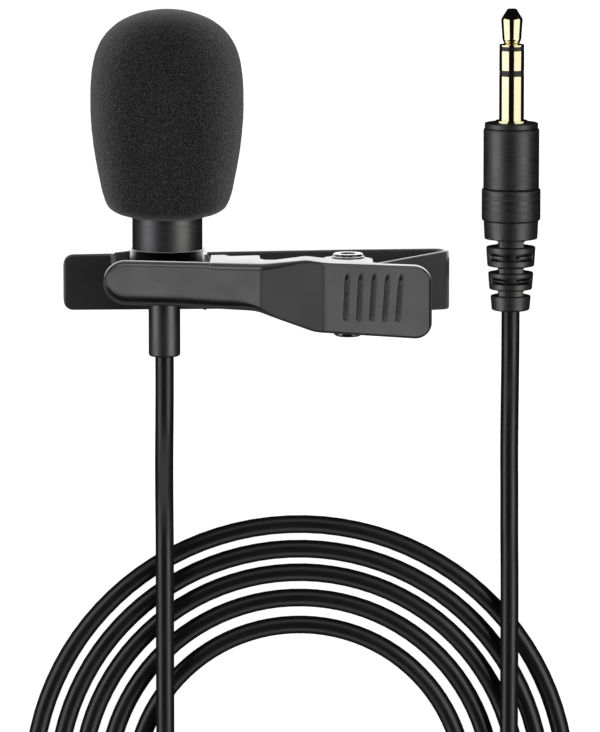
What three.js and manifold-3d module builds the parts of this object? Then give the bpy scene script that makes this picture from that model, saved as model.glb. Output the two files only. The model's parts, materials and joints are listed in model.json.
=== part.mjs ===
// Lavalier microphone with a foam windscreen, a tie clip, a 1.2 m cord and a 3.5 mm plug.
// Millimetres, +Z up. It lies on a surface at Z = 0 with the microphone pointing along +Y.
import * as THREE from "three";
import { mergeVertices } from "three/addons/utils/BufferGeometryUtils.js";
import Module from "manifold-3d";

const wasm = await Module();
wasm.setup();

// ---------------------------------------------------------------- driving dimensions

const GAP = 0.3; // left between pieces that touch
const FOAM_R = 10.7;
const FOAM_LOW = 9.85;
const FOAM_HIGH = 38.9;
const BARREL_R = 4.9;
const BARREL_WALL = 0.7;
const BARREL_LOW = -1.8;
const BARREL_HIGH = 26;
const RELIEF_LOW = -9.7;
const RELIEF_R = 2.2;
const RELIEF_X = -0.45; // the strain relief hangs a little to one side
const CORD_R = 1.3;
const SHEET = 1.0; // thickness of the lever's sheet
const STRIP = 0.85; // thickness of the back strip's sheet
const STRIP_HALF = 3.95; // half the back strip's height
const STRIP_END = new THREE.Vector2(-14.75, -5.1);
const STRIP_SLOPE = THREE.MathUtils.degToRad(-5.5);
const FOLD_R = 1.75;
const TONGUE_SLOPE = THREE.MathUtils.degToRad(-42.5);
const RIVET = new THREE.Vector2(25.2, 5.2);
const RIVET_R = 1.0;
const RIVET_HOLE_R = 1.35;
const EAR_TOP = 5.05; // outer faces of the two ears that hold the rivet
const EAR_LOW = -5.32;
const KNUCKLE_R = 2.15;
const KNUCKLE_HALF = 3.3;
const SPRING_HALF = 1.85;
const LEVER_END = 36.75;
const PLUG_OFFSET = 48.2; // from the microphone's axis to the plug's axis
const PLUG_R = 1.75;
const GRIP_R = 4.14;
const COIL_CENTRE = new THREE.Vector2(18.45, -73.35);
const COIL_INNER_R = 21.4;
const COIL_OUTER_R = 40.9;

// ---------------------------------------------------------------- shapes

const polygon = (points) => new THREE.Shape(points.map(([x, y]) => new THREE.Vector2(x, y)));

// A shape drawn in plan (x, z) and raised along Y.
function planPrism(shape, low, high) {
  const geometry = new THREE.ExtrudeGeometry(shape, {
    depth: high - low,
    bevelEnabled: false,
    curveSegments: 8,
  });
  return geometry.rotateX(Math.PI / 2).translate(0, high, 0);
}

// A shape drawn in front view (x, y) and raised along Z.
function frontPrism(shape, low, high) {
  const geometry = new THREE.ExtrudeGeometry(shape, {
    depth: high - low,
    bevelEnabled: false,
    curveSegments: 8,
  });
  return geometry.translate(0, 0, low);
}

function circle(centre, radius, sides = 20) {
  const points = [];
  for (let i = 0; i < sides; i++) {
    const turn = (i / sides) * 2 * Math.PI;
    points.push([centre.x + radius * Math.cos(turn), centre.y + radius * Math.sin(turn)]);
  }
  return polygon(points);
}

// A solid of revolution about Y, from [radius, y] pairs that run anticlockwise.
function turned(profile, sides = 24) {
  return new THREE.LatheGeometry(
    profile.map(([r, y]) => new THREE.Vector2(r, y)),
    sides,
  );
}

const rod = (radius, low, high, sides) =>
  turned([[0, low], [radius, low], [radius, high], [0, high]], sides);

const sleeve = (inner, outer, low, high, sides) =>
  turned([[inner, low], [outer, low], [outer, high], [inner, high], [inner, low]], sides);

// A line through the corners, with each inner corner rounded to the radius given.
function roundedLine(corners, radius, steps = 6) {
  const line = [corners[0].clone()];
  for (let i = 1; i < corners.length - 1; i++) {
    const before = corners[i - 1].clone().sub(corners[i]).normalize();
    const after = corners[i + 1].clone().sub(corners[i]).normalize();
    const half = before.angleTo(after) / 2;
    const middle = before.clone().add(after).normalize();
    const centre = corners[i].clone().addScaledVector(middle, radius / Math.sin(half));
    const start = corners[i].clone().addScaledVector(before, radius / Math.tan(half)).sub(centre);
    const turn = Math.sign(before.cross(after)) * -(Math.PI - 2 * half);
    for (let k = 0; k <= steps; k++) {
      const spoke = start.clone().rotateAround(new THREE.Vector2(), (turn * k) / steps);
      line.push(centre.clone().add(spoke));
    }
  }
  line.push(corners[corners.length - 1].clone());
  return line;
}

// The outline of a sheet of the given thickness whose middle follows a line.
function sheetOutline(line, thickness) {
  const left = [];
  const right = [];
  for (let i = 0; i < line.length; i++) {
    const ahead = line[Math.min(i + 1, line.length - 1)];
    const behind = line[Math.max(i - 1, 0)];
    const along = ahead.clone().sub(behind).normalize();
    const side = new THREE.Vector2(-along.y, along.x).multiplyScalar(thickness / 2);
    left.push(line[i].clone().add(side));
    right.unshift(line[i].clone().sub(side));
  }
  return new THREE.Shape([...right, ...left]);
}

// A round section swept along a smooth curve through the points.
function swept(points, radius, steps, sides = 8) {
  const section = circle(new THREE.Vector2(), radius, sides);
  const path = new THREE.CatmullRomCurve3(points.map((point) => new THREE.Vector3(...point)));
  return new THREE.ExtrudeGeometry(section, { steps, extrudePath: path, bevelEnabled: false });
}

// ---------------------------------------------------------------- joins and cuts

function solid(geometry) {
  const bare = geometry.clone();
  bare.deleteAttribute("normal");
  bare.deleteAttribute("uv");
  const merged = mergeVertices(bare, 1e-4);
  return new wasm.Manifold(
    new wasm.Mesh({
      numProp: 3,
      vertProperties: merged.attributes.position.array,
      triVerts: new Uint32Array(merged.index.array),
    }),
  );
}

function skin(body) {
  const mesh = body.getMesh();
  const geometry = new THREE.BufferGeometry();
  geometry.setAttribute("position", new THREE.BufferAttribute(mesh.vertProperties, 3));
  geometry.setIndex(new THREE.BufferAttribute(mesh.triVerts, 1));
  geometry.computeVertexNormals();
  return geometry;
}

// ---------------------------------------------------------------- finishes

const finish = (color, roughness, metalness) => () =>
  new THREE.MeshStandardMaterial({ color, roughness, metalness });

const FINISH = {
  foam: finish(0x303030, 1.0, 0.0),
  blackMetal: finish(0x1c1c1e, 0.35, 0.7),
  greySatin: finish(0x595959, 0.5, 0.3),
  blackGloss: finish(0x151515, 0.25, 0.4),
  steel: finish(0xb8b8b8, 0.3, 1.0),
  gold: finish(0xe2c27a, 0.2, 1.0),
  blackPlastic: finish(0x141414, 0.45, 0.0),
  rubber: finish(0x1a1a1a, 0.7, 0.0),
  board: finish(0x1f5a34, 0.6, 0.0),
  redLead: finish(0xa02020, 0.5, 0.0),
};

function piece(parent, name, geometry, material) {
  const mesh = new THREE.Mesh(geometry, material());
  mesh.name = name;
  parent.add(mesh);
}

// ---------------------------------------------------------------- microphone

// The windscreen is an egg with rounded lower shoulders and a pocket for the barrel's head.
function windscreen() {
  const length = FOAM_HIGH - FOAM_LOW;
  const outline = [
    [0.47, 0.0], [0.74, 0.03], [0.83, 0.09], [0.89, 0.18], [0.95, 0.32], [1.0, 0.52],
    [0.98, 0.68], [0.92, 0.8], [0.8, 0.88], [0.58, 0.94], [0.3, 0.985],
  ];
  const outer = outline.map(([r, y]) => [r * FOAM_R, FOAM_LOW + y * length]);
  const pocket = BARREL_R + GAP;
  const roof = BARREL_HIGH + 2.6;
  outer[0] = [pocket, FOAM_LOW];
  return turned([...outer, [0, FOAM_HIGH], [0, roof], [pocket, roof], [pocket, FOAM_LOW]], 32);
}

// The cap is a plate with a ring of sound holes round a central one.
function grilleCap() {
  const plate = circle(new THREE.Vector2(), BARREL_R, 24);
  plate.holes.push(circle(new THREE.Vector2(), 0.7, 8));
  for (let i = 0; i < 6; i++) {
    const turn = (i / 6) * 2 * Math.PI;
    const centre = new THREE.Vector2(2.4 * Math.cos(turn), 2.4 * Math.sin(turn));
    plate.holes.push(circle(centre, 0.7, 8));
  }
  return planPrism(plate, BARREL_HIGH + GAP, BARREL_HIGH + GAP + 1.2);
}

function addMicrophone(mic) {
  const bore = BARREL_R - BARREL_WALL;
  const fit = bore - GAP;
  piece(mic, "foam_windscreen", windscreen(), FINISH.foam);
  piece(mic, "mic_barrel", sleeve(bore, BARREL_R, BARREL_LOW, BARREL_HIGH), FINISH.blackMetal);
  piece(mic, "grille_cap", grilleCap(), FINISH.blackMetal);
  piece(mic, "grille_mesh", rod(fit, BARREL_HIGH - 0.6, BARREL_HIGH), FINISH.steel);
  piece(mic, "capsule_can", rod(2.95, BARREL_HIGH - 6.5, BARREL_HIGH - 1.2), FINISH.steel);
  piece(mic, "capsule_boot", sleeve(3.25, fit, BARREL_HIGH - 6.9, BARREL_HIGH - 0.9), FINISH.rubber);
  piece(mic, "capsule_board", rod(3.4, BARREL_HIGH - 8.4, BARREL_HIGH - 7.4), FINISH.board);
  const leads = [["lead_signal", 1.1, FINISH.redLead], ["lead_ground", -1.1, FINISH.rubber]];
  for (const [name, x, colour] of leads) {
    const lead = rod(0.4, BARREL_LOW + 2.0, BARREL_HIGH - 8.7, 8).translate(x, 0, 0);
    piece(mic, name, lead, colour);
  }
  piece(mic, "barrel_end_plug", rod(fit, BARREL_LOW, BARREL_LOW + 1.7), FINISH.blackPlastic);
  const foot = [[0, RELIEF_LOW], [RELIEF_R - 0.2, RELIEF_LOW], [RELIEF_R, RELIEF_LOW + 0.2]];
  const relief = [...foot, [RELIEF_R, BARREL_LOW - GAP], [0, BARREL_LOW - GAP]];
  piece(mic, "mic_strain_relief", turned(relief, 16).translate(RELIEF_X, 0, 0), FINISH.rubber);
}

// ---------------------------------------------------------------- clip, front half

const LEVER_FRONT = [
  new THREE.Vector2(-8.8, 6.4),
  new THREE.Vector2(13.0, 7.3),
  new THREE.Vector2(21.3, 10.5),
  new THREE.Vector2(LEVER_END, 12.3),
];
const LEVER_TIP_R = 3.15;
const LEVER_TIP = new THREE.Vector2(-8.8 + LEVER_TIP_R, 1.3);

// How far forward the lever's face lies at a distance along it.
function leverFace(x) {
  let i = 0;
  while (i < LEVER_FRONT.length - 2 && x > LEVER_FRONT[i + 1].x) i++;
  const [a, b] = [LEVER_FRONT[i], LEVER_FRONT[i + 1]];
  return a.y + ((x - a.x) / (b.x - a.x)) * (b.y - a.y);
}

// The lever seen from the front: a round tip, a narrow jaw and a wide thumb pad.
function leverOutline(inset) {
  const corner = 2.1 - inset;
  const right = LEVER_END - inset;
  const top = 4.75 - inset;
  const low = -5.85 + inset;
  const shape = new THREE.Shape();
  shape.absarc(LEVER_TIP.x, LEVER_TIP.y, LEVER_TIP_R - inset, Math.PI / 2, (3 * Math.PI) / 2);
  shape.lineTo(12.6, -2.62 + inset);
  shape.lineTo(20.5, -5.08 + inset);
  shape.lineTo(right - corner, low);
  shape.absarc(right - corner, low + corner, corner, -Math.PI / 2, 0);
  shape.absarc(right - corner, top - corner, corner, 0, Math.PI / 2);
  shape.lineTo(19.8, 5.2 - inset);
  shape.lineTo(13.7, 4.34 - inset);
  return shape;
}

// The lever's sheet is bent back along its edges: a shallow lip, an ear for the rivet and,
// on top, a deep gusset beside the microphone.
function lipPlan(withGusset) {
  const shape = new THREE.Shape();
  const lip = 2.6;
  const edge = LEVER_END + 1;
  shape.moveTo(edge, leverFace(LEVER_END) + 1);
  shape.lineTo(edge, leverFace(LEVER_END) - lip);
  shape.lineTo(RIVET.x + 5, leverFace(RIVET.x + 5) - lip);
  shape.absarc(RIVET.x, RIVET.y, 3.4, 0.1, Math.PI - 0.35, true);
  shape.lineTo(14.6, 3.2);
  if (withGusset) {
    shape.lineTo(13.4, 1.2);
    shape.lineTo(13.1, -2.7);
    shape.lineTo(BARREL_R + 1.15, -2.7);
    shape.lineTo(BARREL_R + 1.15, leverFace(6) - 0.5);
  }
  shape.lineTo(LEVER_FRONT[1].x, LEVER_FRONT[1].y - 0.5);
  shape.lineTo(LEVER_FRONT[2].x, LEVER_FRONT[2].y - 0.5);
  return shape;
}

function frontLever() {
  const middle = LEVER_FRONT.map((point) => new THREE.Vector2(point.x, point.y - SHEET / 2));
  middle[3].x += 1;
  const sheet = solid(planPrism(sheetOutline(roundedLine(middle, 4), SHEET), -9, 9));
  const whole = solid(frontPrism(leverOutline(0), -9, 19));
  const inside = solid(frontPrism(leverOutline(SHEET), -10, 20));
  const topLip = solid(planPrism(lipPlan(true), 0, 9));
  const lowLip = solid(planPrism(lipPlan(false), -9, 0));
  const lips = whole.subtract(inside).intersect(topLip.add(lowLip));
  const hole = solid(planPrism(circle(RIVET, RIVET_HOLE_R), -9, 9));
  let lever = sheet.intersect(whole).add(lips).subtract(hole);
  for (let i = 0; i < 5; i++) {
    const x = RIVET.x + 1.84 * i;
    const groove = polygon([[x - 0.2, -3.4], [x + 0.2, -3.4], [x + 0.35, 3.6], [x - 0.05, 3.6]]);
    lever = lever.subtract(solid(frontPrism(groove, leverFace(x) - 0.4, 20)));
  }
  return skin(lever);
}

// The ring is a band that starts flat behind the lever, wraps round the barrel's back
// and ends in a lip that flares outward.
function micRing() {
  const thick = 0.55;
  const radius = BARREL_R + GAP + thick / 2;
  const line = [
    new THREE.Vector2(12.3, 5.55),
    new THREE.Vector2(7.0, 5.3),
    new THREE.Vector2(6.0, 5.1),
    new THREE.Vector2(radius + 0.15, 4.3),
    new THREE.Vector2(radius, 3.2),
  ];
  for (let degrees = 0; degrees <= 165; degrees += 11) {
    const turn = THREE.MathUtils.degToRad(-degrees);
    line.push(new THREE.Vector2(radius * Math.cos(turn), radius * Math.sin(turn)));
  }
  line.push(new THREE.Vector2(-5.75, 0.2));
  line.push(new THREE.Vector2(-6.7, 1.5));
  line.push(new THREE.Vector2(-7.7, 2.5));
  const band = solid(planPrism(sheetOutline(line, thick), -9, 9));
  const step = BARREL_R + 0.95;
  const tall = [[-12, -3.0], [step, -3.0], [step, -1.7], [14, -1.7], [14, 2.6], [step, 2.6]];
  const height = polygon([...tall, [step, 5.2], [-12, 5.2]]);
  return skin(band.intersect(solid(frontPrism(height, -12, 12))));
}

// The rivet has a domed head below the lower ear and a rolled rim above the washer.
function pivotRivet() {
  const below = EAR_LOW - GAP;
  const above = EAR_TOP + 0.5;
  const profile = [
    [0, below - 0.95], [1.2, below - 0.85], [1.9, below - 0.4], [2.1, below], [RIVET_R, below],
    [RIVET_R, above], [2.03, above], [2.03, above + 0.3], [1.6, above + 0.45],
    [1.0, above + 0.2], [0, above + 0.2],
  ];
  return turned(profile, 20).translate(RIVET.x, 0, RIVET.y);
}

// The spring's coil sits between the knuckles; one leg bears on the lever, one on the tongue.
function torsionSpring() {
  const wire = 0.3;
  const coilR = RIVET_R + GAP + wire + 0.1;
  const turns = 4;
  const perTurn = 10;
  const height = 2 * (SPRING_HALF - 0.15 - wire);
  const points = [[RIVET.x + 6.6, height / 2, RIVET.y + coilR + 1.9]];
  for (let i = 0; i <= turns * perTurn; i++) {
    const turn = Math.PI / 2 + (i / perTurn) * 2 * Math.PI;
    const y = height / 2 - (height * i) / (turns * perTurn);
    points.push([RIVET.x + coilR * Math.cos(turn), y, RIVET.y + coilR * Math.sin(turn)]);
  }
  points.push([RIVET.x - 2.2, -height / 2, RIVET.y + coilR + 1.0]);
  return swept(points, wire, 60, 6);
}

function addClip(clip) {
  piece(clip, "front_lever", frontLever(), FINISH.greySatin);
  piece(clip, "mic_ring", micRing(), FINISH.blackGloss);
  piece(clip, "pivot_rivet", pivotRivet(), FINISH.blackGloss);
  const washer = sleeve(RIVET_HOLE_R, 2.35, EAR_TOP + 0.15, EAR_TOP + 0.35, 20);
  piece(clip, "rivet_washer", washer.translate(RIVET.x, 0, RIVET.y), FINISH.blackGloss);
  piece(clip, "torsion_spring", torsionSpring(), FINISH.steel);
  piece(clip, "back_strip", backStrip(), FINISH.blackGloss);
}

// ---------------------------------------------------------------- clip, back half

const stripAlong = new THREE.Vector2(Math.cos(STRIP_SLOPE), Math.sin(STRIP_SLOPE));
const tongueAlong = new THREE.Vector2(Math.cos(TONGUE_SLOPE), Math.sin(TONGUE_SLOPE));
const tongueLength = stripAlong.cross(STRIP_END.clone().sub(RIVET)) / stripAlong.cross(tongueAlong);
const FOLD = RIVET.clone().addScaledVector(tongueAlong, tongueLength);

// The strip runs straight behind the microphone, folds over, and its tongue comes back
// to two knuckles on the rivet.
function backStrip() {
  const line = roundedLine([STRIP_END, FOLD, RIVET], FOLD_R, 8);
  const band = solid(planPrism(sheetOutline(line, STRIP), -9, 9));
  const left = STRIP_END.x;
  const corner = 1.35;
  const outline = new THREE.Shape();
  outline.absarc(left + corner, STRIP_HALF - corner, corner, Math.PI / 2, Math.PI);
  outline.absarc(left + corner, corner - STRIP_HALF, corner, Math.PI, (3 * Math.PI) / 2);
  outline.lineTo(45, -STRIP_HALF);
  outline.lineTo(45, STRIP_HALF);
  const tongue = polygon([[20, -9], [20, -KNUCKLE_HALF], [30, -KNUCKLE_HALF], [33, -9]]);
  const mirrored = polygon([[33, 9], [30, KNUCKLE_HALF], [20, KNUCKLE_HALF], [20, 9]]);
  const cuts = solid(frontPrism(tongue, -5.5, 15)).add(solid(frontPrism(mirrored, -5.5, 15)));
  const knuckles = solid(planPrism(circle(RIVET, KNUCKLE_R), -KNUCKLE_HALF, KNUCKLE_HALF));
  const bore = solid(planPrism(circle(RIVET, RIVET_HOLE_R), -9, 9));
  const springRoom = solid(planPrism(circle(RIVET, 3.1), -SPRING_HALF, SPRING_HALF));
  const strip = band.intersect(solid(frontPrism(outline, -15, 15))).subtract(cuts);
  return skin(strip.add(knuckles).subtract(bore).subtract(springRoom));
}

// ---------------------------------------------------------------- plug

function addPlug(plug) {
  const step = 0.15; // axial room between the plug's contacts
  const bore = 0.9;
  const tip = [
    [0, 17.2], [0.6, 17.2], [0.6, 33.6], [1.25, 33.7], [1.3, 34.2], [1.5, 37.0], [0.6, 38.4],
    [0, 38.4],
  ];
  piece(plug, "plug_tip", turned(tip, 20), FINISH.gold);
  const rings = [
    ["tip_insulator", 32.7, 33.4, FINISH.blackPlastic],
    ["plug_ring", 29.75, 32.7 - step, FINISH.gold],
    ["ring_insulator", 29.1, 29.75 - step, FINISH.blackPlastic],
    ["plug_sleeve", 19.3, 29.1 - step, FINISH.gold],
  ];
  for (const [name, low, high, material] of rings) {
    piece(plug, name, sleeve(bore, PLUG_R, low, high, 20), material);
  }
  const clear = PLUG_R + GAP;
  piece(plug, "plug_flange", sleeve(clear, 2.6, 22.75, 23.05, 20), FINISH.gold);
  piece(plug, "shell_front_ring", sleeve(clear, 3.75, 21.75, 22.6, 24), FINISH.blackMetal);
  piece(plug, "plug_shell", sleeve(2.9, 3.92, 13.28, 21.6, 24), FINISH.blackMetal);
  piece(plug, "grip_collar", sleeve(3.3, GRIP_R, 8.7, 13.13, 24), FINISH.blackMetal);
  piece(plug, "plug_strain_relief", plugRelief(), FINISH.rubber);
  const lug = polygon([[-0.6, 14.5], [0.6, 14.5], [0.6, 18.9], [-0.6, 18.9]]);
  piece(plug, "ring_terminal", frontPrism(lug, 1.3, 1.7), FINISH.steel);
  const tag = polygon([[-0.9, 12.0], [0.9, 12.0], [0.9, 18.9], [-0.9, 18.9]]);
  piece(plug, "sleeve_tag", frontPrism(tag, -1.8, -1.35), FINISH.steel);
}

// The rubber boot is a stack of discs on a core, narrowing towards the cord.
function plugRelief() {
  const core = 1.72;
  const discs = [[-4.12, -1.99, 2.75], [-1.25, 1.3, 3.13], [2.04, 4.94, 3.46]];
  const profile = [[0, discs[0][0]]];
  for (const [low, high, radius] of discs) {
    profile.push([radius - 0.1, low], [radius, high], [core, high]);
    profile.push([core, high + 0.7]);
  }
  profile.pop();
  profile.push([core, 5.94], [3.65, 5.94], [3.8, 8.55], [0, 8.55]);
  return turned(profile, 20);
}

// ---------------------------------------------------------------- cord

const OVER = 3 * CORD_R + GAP + 0.05; // height of the cord where it lies over the coil

// From the microphone the cord droops onto the coil, crosses it and drops inside it.
const MIC_RUN = [
  [-0.45, -10.0, FOAM_R], [-0.45, -14, FOAM_R], [-0.5, -19, 10.1], [-0.6, -25, 8.2],
  [-0.65, -31, 5.8], [-0.65, -36.5, 4.5], [-0.65, -42, OVER], [-0.65, -54, OVER],
  [-0.65, -61, OVER], [-0.65, -66, 4.1], [-0.65, -70.5, 2.6], [-0.9, -76, 1.4],
];

// From the plug the cord drops to the surface, then climbs over the coil's right side.
const PLUG_RUN = [
  [48.2, -4.45, GRIP_R], [48.2, -8, GRIP_R], [48.2, -13, 3.5], [48.2, -19, 2.2],
  [48.2, -25, 1.5], [48.25, -31, 1.35], [48.25, -36, 1.8], [48.25, -41, 3.4],
  [48.25, -46, OVER], [48.25, -54, OVER], [48.25, -64, OVER], [48.25, -74, OVER],
  [48.25, -84, OVER], [47.9, -91.5, OVER], [47.0, -97.5, OVER],
];

function addCord(cord) {
  piece(cord, "cord_mic_run", swept(MIC_RUN, CORD_R, 16), FINISH.rubber);
  piece(cord, "cord_plug_run", swept(PLUG_RUN, CORD_R, 20), FINISH.rubber);
  const coil = sleeve(COIL_INNER_R, COIL_OUTER_R, -CORD_R, CORD_R, 48).rotateX(Math.PI / 2);
  piece(cord, "cord_coil", coil.translate(COIL_CENTRE.x, COIL_CENTRE.y, CORD_R), FINISH.rubber);
}

// ---------------------------------------------------------------- assembly

// The origin stands below the middle of the microphone with its clip.
const foldRadius = FOLD_R + STRIP / 2;
const foldCorner = (Math.PI + TONGUE_SLOPE - STRIP_SLOPE) / 2;
const foldMiddle = FOLD.clone().addScaledVector(stripAlong, -FOLD_R * Math.tan(foldCorner));
foldMiddle.add(new THREE.Vector2(-stripAlong.y, stripAlong.x).multiplyScalar(FOLD_R));
const middleX = (STRIP_END.x + foldMiddle.x + foldRadius) / 2;
const middleY = (RELIEF_LOW + FOAM_HIGH) / 2;

const part = new THREE.Group();
function frame(x, z) {
  const group = new THREE.Group();
  group.position.set(x - middleX, -middleY, z);
  part.add(group);
  return group;
}
addMicrophone(frame(0, FOAM_R));
addClip(frame(0, FOAM_R));
addPlug(frame(PLUG_OFFSET, GRIP_R));
addCord(frame(0, 0));

export default part;
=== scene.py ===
# Lavalier microphone: the visual model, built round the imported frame.
import json
import math

import bpy
from mathutils import Matrix, Vector, noise


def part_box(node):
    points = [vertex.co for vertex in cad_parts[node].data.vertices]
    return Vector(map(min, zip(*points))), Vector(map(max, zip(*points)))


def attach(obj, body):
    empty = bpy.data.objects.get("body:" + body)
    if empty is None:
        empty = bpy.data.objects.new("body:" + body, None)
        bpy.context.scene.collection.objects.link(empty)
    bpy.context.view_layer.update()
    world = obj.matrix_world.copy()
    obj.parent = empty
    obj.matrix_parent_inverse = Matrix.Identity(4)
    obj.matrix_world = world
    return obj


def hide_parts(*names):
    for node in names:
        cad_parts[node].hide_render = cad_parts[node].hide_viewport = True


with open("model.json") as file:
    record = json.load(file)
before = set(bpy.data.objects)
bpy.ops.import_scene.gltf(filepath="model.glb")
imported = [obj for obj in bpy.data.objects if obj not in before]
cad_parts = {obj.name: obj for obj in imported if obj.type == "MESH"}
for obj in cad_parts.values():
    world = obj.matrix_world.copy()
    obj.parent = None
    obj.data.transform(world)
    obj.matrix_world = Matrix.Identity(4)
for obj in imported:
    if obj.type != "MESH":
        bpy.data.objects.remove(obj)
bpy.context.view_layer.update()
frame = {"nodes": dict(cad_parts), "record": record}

MM = 0.001
LEAN = math.radians(8.0)  # the camera looks down, leaning this far from the vertical


# ---------------------------------------------------------------- places, from the frame

def middle(node):
    low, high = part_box(node)
    return (Vector(low) + Vector(high)) / 2


AXIS = middle("mic_barrel")
STRIP = middle("back_strip")
PLUG = middle("plug_shell")
COIL = middle("cord_coil")
RIVET = middle("rivet_washer")
ORIGIN = Vector((AXIS.x, STRIP.y, AXIS.z))  # the microphone's axis at the strip's mid-height


def at(u, y, w):
    """A point in millimetres along the clip, along the microphone and up, from ORIGIN."""
    return ORIGIN + Vector((u, y, w)) * MM


# ---------------------------------------------------------------- camera and light

VIEW_HEIGHT = 102.521 * MM  # what the camera takes in, from top to bottom
AIM = at(18.52, -11.2, 0)


def add_camera():
    data = bpy.data.cameras.new("camera")
    data.lens = 300
    data.sensor_width = 36
    data.clip_start = 0.01
    data.clip_end = 20
    camera = bpy.data.objects.new("camera", data)
    bpy.context.scene.collection.objects.link(camera)
    distance = data.lens / data.sensor_width * VIEW_HEIGHT
    camera.location = AIM + Vector((0, math.sin(LEAN), math.cos(LEAN))) * distance
    camera.rotation_euler = (-LEAN, 0, 0)
    bpy.context.scene.camera = camera


WHITE = (1.0, 1.0, 1.0)
LEFT_TINT = (0.98, 0.97, 1.03)
RIGHT_TINT = (1.0, 1.0, 0.98)


def add_panel(name, place, turn, size, radiance, tint=WHITE):
    """A soft box of the given width and height; it shines along its own -Z axis."""
    data = bpy.data.lights.new(name, "AREA")
    data.shape = "RECTANGLE"
    data.size, data.size_y = size
    data.energy = radiance * math.pi * size[0] * size[1]
    data.color = tint
    panel = bpy.data.objects.new(name, data)
    bpy.context.scene.collection.objects.link(panel)
    panel.location = place
    panel.rotation_euler = turn
    return panel


def light_only(light, pieces, state="INCLUDE"):
    """The light reaches only these pieces, or with EXCLUDE everything but them."""
    light.light_linking.receiver_collection = linked(light.name + "_lit", pieces, state)


def shade_only(light, pieces):
    """Only these pieces cast a shadow in the light."""
    light.light_linking.blocker_collection = linked(light.name + "_shade", pieces, "INCLUDE")


def linked(name, pieces, state):
    """A collection of the pieces for a light to be linked to."""
    collection = bpy.data.collections.new(name)
    for piece in pieces:
        collection.objects.link(piece)
    for member in collection.collection_objects:
        member.light_linking.link_state = state
    return collection


LEFT, RIGHT, FAR, NEAR = (-1, 0), (1, 0), (0, 1), (0, -1)
SIDE_AWAY = 0.46  # how far the side boxes stand from the object
OVERHEAD_AWAY = 0.9  # and how far the overhead panels hang from it
BOX_WIDTH = 0.8


def add_side_box(name, way, heights, radiance, tint=WHITE, width=BOX_WIDTH, shift=0.0):
    """An upright box beside the object, facing it, from one height to another."""
    low, high = heights
    centre = AIM + Vector((way[0] * SIDE_AWAY, way[1] * SIDE_AWAY + shift, (low + high) / 2))
    if way[0]:
        turn = (0, way[0] * math.radians(90), 0)
        size = (high - low, width)
    else:
        turn = (-way[1] * math.radians(90), 0, 0)
        size = (width, high - low)
    return add_panel(name, centre, turn, size, radiance, tint)


def add_own_box(name, way, heights, radiance, pieces, **more):
    """A side box that lights only these pieces, and that only they shade."""
    box = add_side_box(name, way, heights, radiance, **more)
    light_only(box, pieces)
    shade_only(box, pieces)


def add_world():
    """Hardly any light from all round, so that the boxes make the picture."""
    world = bpy.data.worlds.new("studio")
    world.use_nodes = True
    background = world.node_tree.nodes["Background"]
    background.inputs["Color"].default_value = (*WHITE, 1.0)
    background.inputs["Strength"].default_value = 0.004
    bpy.context.scene.world = world


def add_main_boxes(others):
    """The pair that lights everything but these others."""
    left_box = add_side_box("left_box", LEFT, (0.04, 0.42), 2.9, LEFT_TINT)
    right_box = add_side_box("right_box", RIGHT, (0.16, 0.76), 3.4, RIGHT_TINT)
    for box in (left_box, right_box):
        light_only(box, others, "EXCLUDE")


def light_plug(plug, contacts):
    """A pair for the shell and the boot, and a taller pair for the bright contacts."""
    add_own_box("left_plug", LEFT, (0.02, 0.42), 3.8, plug, tint=LEFT_TINT)
    add_own_box("right_plug", RIGHT, (0.16, 0.76), 3.1, plug, tint=RIGHT_TINT)
    narrow = 0.75
    add_own_box("left_gold", LEFT, (-0.12, 0.88), 1.2, contacts, tint=LEFT_TINT, width=narrow)
    add_own_box("right_gold", RIGHT, (-0.03, 1.15), 1.08, contacts, tint=RIGHT_TINT, width=narrow)


def light_foam(foam):
    """Boxes so low that they reach only the foam's edges, and make them paler."""
    heights = (-0.45, -0.15)
    for name, way, radiance in (("left_foam", LEFT, 14), ("right_foam", RIGHT, 14),
                                ("far_foam", FAR, 2.5)):
        add_own_box(name, way, heights, radiance, [foam], width=0.5, shift=0.2)


def light_cord(cord):
    """Boxes on the far and near sides, for the stretches that run from left to right."""
    for name, way, radiance in (("far_box", FAR, 1.2), ("near_box", NEAR, 1.5)):
        light_only(add_side_box(name, way, (0.1, 0.48), radiance), [cord])


def light_lever(lever):
    """Low boxes all round, one panel over its two flat faces and a dimmer one for its slope."""
    for name, way, radiance in (("left_lever", LEFT, 1.0), ("right_lever", RIGHT, 1.0),
                                ("far_lever", FAR, 0.7), ("near_lever", NEAR, 0.5)):
        light_only(add_side_box(name, way, (-0.08, 0.2), radiance), [lever])
    length = 0.34
    for name, lean, span, radiance in (("overhead", 8, 20, 2.0), ("overhead_left", 41, 24, 0.96)):
        turn = math.radians(lean)
        way = Vector((-math.sin(turn), -math.sin(LEAN) * math.cos(turn), math.cos(turn)))
        width = 2 * OVERHEAD_AWAY * math.tan(math.radians(span) / 2)
        place = AIM + way * OVERHEAD_AWAY
        light_only(add_panel(name, place, (0, -turn, 0), (width, length), radiance), [lever])


def light_clip(clip_pieces, collar):
    """A panel over the far side for the clip's edges, and glows from below for its lips."""
    turn = math.radians(36)
    way = Vector((-0.15, math.sin(turn), math.cos(turn)))
    place = AIM + way * OVERHEAD_AWAY
    rim = add_panel("overhead_far", place, (-turn, 0, 0), (0.6, 0.45), 2.2)
    light_only(rim, [piece for piece in clip_pieces if piece is not collar])
    just_above_floor = 0.0003
    for name, offset, radiance in (("glow_far", 0.018, 2.7), ("glow_near", -0.015, 0.35)):
        place = Vector((AIM.x, STRIP.y + offset, just_above_floor))
        glow = add_panel(name, place, (math.pi, 0, 0), (0.09, 0.03), radiance)
        glow.visible_camera = False
        glow.visible_diffuse = False
        light_only(glow, clip_pieces)


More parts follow.
